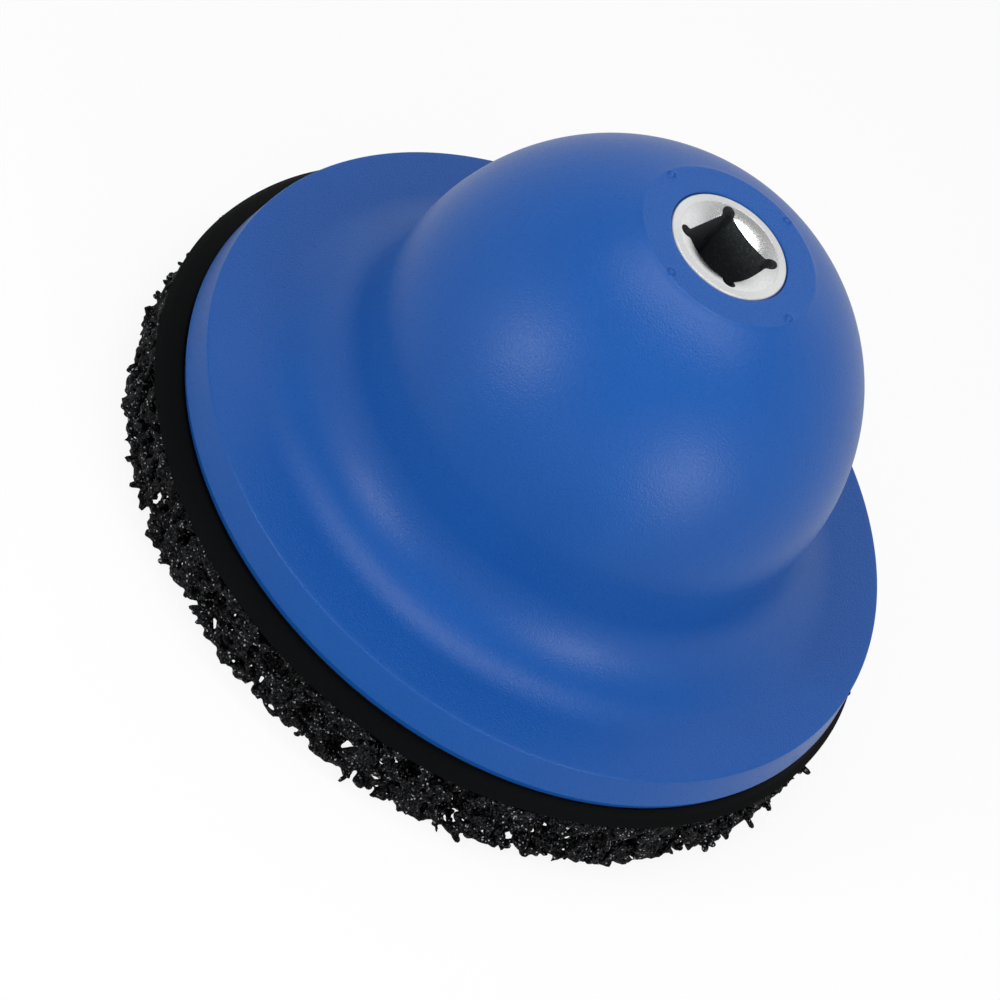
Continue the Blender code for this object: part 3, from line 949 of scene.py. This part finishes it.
def make_stage():
    t = Nodes("pale_floor")
    t.bsdf.inputs["Base Color"].default_value = (0.12, 0.12, 0.12, 1.0)
    t.bsdf.inputs["Roughness"].default_value = 0.9
    t.bsdf.inputs["Specular IOR Level"].default_value = 0.0
    t.bsdf.inputs["Emission Color"].default_value = (1.0, 1.0, 1.0, 1.0)
    t.bsdf.inputs["Emission Strength"].default_value = 0.88
    floor = piece_from("floor", [(6000 * math.cos(a), 6000 * math.sin(a), -0.02) for a in even_angles(64)],
                       [tuple(range(64))], t.material, smooth=False)

    # A pale backdrop all round. The floor and it are only looked at; the surround below lights the object.
    t = Nodes("pale_backdrop")
    t.bsdf.inputs["Base Color"].default_value = (0.0, 0.0, 0.0, 1.0)
    t.bsdf.inputs["Specular IOR Level"].default_value = 0.0
    t.bsdf.inputs["Emission Color"].default_value = (1.0, 1.0, 1.0, 1.0)
    t.bsdf.inputs["Emission Strength"].default_value = 0.95
    bm = bmesh.new()
    bmesh.ops.create_icosphere(bm, subdivisions=4, radius=7.0)
    mesh = bpy.data.meshes.new("backdrop")
    bm.to_mesh(mesh)
    bm.free()
    mesh.materials.append(t.material)
    backdrop = bpy.data.objects.new("backdrop", mesh)
    scene.collection.objects.link(backdrop)
    backdrop.visible_shadow = False
    for stage in (floor, backdrop):
        stage.visible_diffuse = False
        stage.visible_glossy = False
        stage.visible_transmission = False

    world = bpy.data.worlds.new("surround")
    scene.world = world
    world.use_nodes = True
    tree = world.node_tree
    background = tree.nodes["Background"]
    background.inputs["Color"].default_value = (1.0, 1.0, 1.0, 1.0)
    look = tree.nodes.new("ShaderNodeTexCoord")
    total = None
    for az, el, outer, inner, added in SURROUND:
        az, el = math.radians(az) + CAM_AZ - math.pi / 2, math.radians(el)
        facing = tree.nodes.new("ShaderNodeVectorMath")
        facing.operation = "DOT_PRODUCT"
        facing.inputs[1].default_value = (math.cos(az) * math.cos(el), math.sin(az) * math.cos(el), math.sin(el))
        tree.links.new(look.outputs["Generated"], facing.inputs[0])
        ramp = tree.nodes.new("ShaderNodeMapRange")
        ramp.interpolation_type = "SMOOTHSTEP"
        ends = (math.cos(math.radians(outer)), math.cos(math.radians(inner)), 0.0, added)
        for key, x in zip(("From Min", "From Max", "To Min", "To Max"), ends):
            ramp.inputs[key].default_value = x
        tree.links.new(facing.outputs["Value"], ramp.inputs["Value"])
        add = tree.nodes.new("ShaderNodeMath")
        add.operation = "ADD"
        add.inputs[0].default_value = SURROUND_BASE
        if total is not None:
            tree.links.new(total, add.inputs[0])
        tree.links.new(ramp.outputs["Result"], add.inputs[1])
        total = add.outputs["Value"]
    tree.links.new(total, background.inputs["Strength"])


CAM_AZ = math.radians(17.0)
CAM_EL = 0.747351
CAM_ROLL = 0.702395
CAM_DIST = 11.15679 * 0.071
CAM_FOCAL = 4260.19
CAM_CENTRE = (553.247, 453.952)
CAM_AIM = Vector((0.0, 0.0, FLANGE_Z * MM))


def camera_axes():
    a, e = CAM_AZ, CAM_EL
    back = Vector((math.sin(a) * math.cos(e), -math.cos(a) * math.cos(e), math.sin(e)))
    level = Vector((math.cos(a), math.sin(a), 0.0))
    rise = back.cross(level)
    c, s = math.cos(CAM_ROLL), math.sin(CAM_ROLL)
    return level * c + rise * s, rise * c - level * s, back


def make_camera():
    right, up, back = camera_axes()
    ox = (CAM_CENTRE[0] - 500.0) / CAM_FOCAL * CAM_DIST
    oy = -(CAM_CENTRE[1] - 500.0) / CAM_FOCAL * CAM_DIST
    place = CAM_AIM + back * CAM_DIST - right * ox - up * oy
    data = bpy.data.cameras.new("camera")
    data.sensor_width = 36.0
    data.lens = CAM_FOCAL / 1000.0 * 36.0
    data.clip_start, data.clip_end = 0.01, 50.0
    cam = bpy.data.objects.new("camera", data)
    scene.collection.objects.link(cam)
    m = Matrix((right, up, back)).transposed().to_4x4()
    m.translation = place
    cam.matrix_world = m
    scene.camera = cam


def area_light(name, direction, distance, size, power, across=None):
    """A soft light towards the object: a disc, or a strip whose length runs level across the view."""
    d = direction.normalized()
    data = bpy.data.lights.new(name, "AREA")
    data.energy = power
    data.shape = "DISK" if across is None else "RECTANGLE"
    data.size = size
    if across is not None:
        data.size_y = across
    level = Vector((math.cos(CAM_AZ), math.sin(CAM_AZ), 0.0))
    x = (level - d * level.dot(d)).normalized()
    m = Matrix((x, d.cross(x), d)).transposed().to_4x4()
    m.translation = Vector((0, 0, 0.045)) + d * distance
    obj = bpy.data.objects.new(name, data)
    scene.collection.objects.link(obj)
    obj.matrix_world = m
    return obj


def make_lights():
    right, up, back = camera_axes()
    left_box = right * -0.555 + up * 0.23 + back * 0.774
    right_box = right * 0.467 - up * 0.596 + back * 0.653
    towards = Vector((math.sin(CAM_AZ), -math.cos(CAM_AZ), 0.0))
    lift = math.radians(62.0)
    area_light("box_left", left_box, 0.35, 0.12, 0.22)
    area_light("box_right", right_box, 0.35, 0.13, 0.225)
    area_light("box_front", towards * math.cos(lift) + Vector((0, 0, 1)) * math.sin(lift), 0.32, 0.2, 0.05)
    area_light("strip_over", Vector((0, 0, 1)), 0.30, 0.3, 0.37, 0.05)
    # The strip's shine is a little stronger than its wash, and a low front fill has no shine.
    area_light("strip_shine", Vector((0, 0, 1)), 0.30, 0.3, 0.15, 0.05).visible_diffuse = False
    low = math.radians(10.0)
    area_light("fill_front", towards * math.cos(low) + Vector((0, 0, 1)) * math.sin(low), 0.35, 0.2, 0.12).visible_glossy = False


scene.view_settings.view_transform = "Standard"
make_camera()
make_lights()
make_stage()
make_bell()
make_insert()
make_foam()
make_loop()
make_hooks()
make_web()
for name in ("insert_screw_1", "insert_screw_2", "insert_screw_3", "insert_screw_4"):
    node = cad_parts[name]
    node.data.materials.clear()
    node.data.materials.append(M_ZINC)
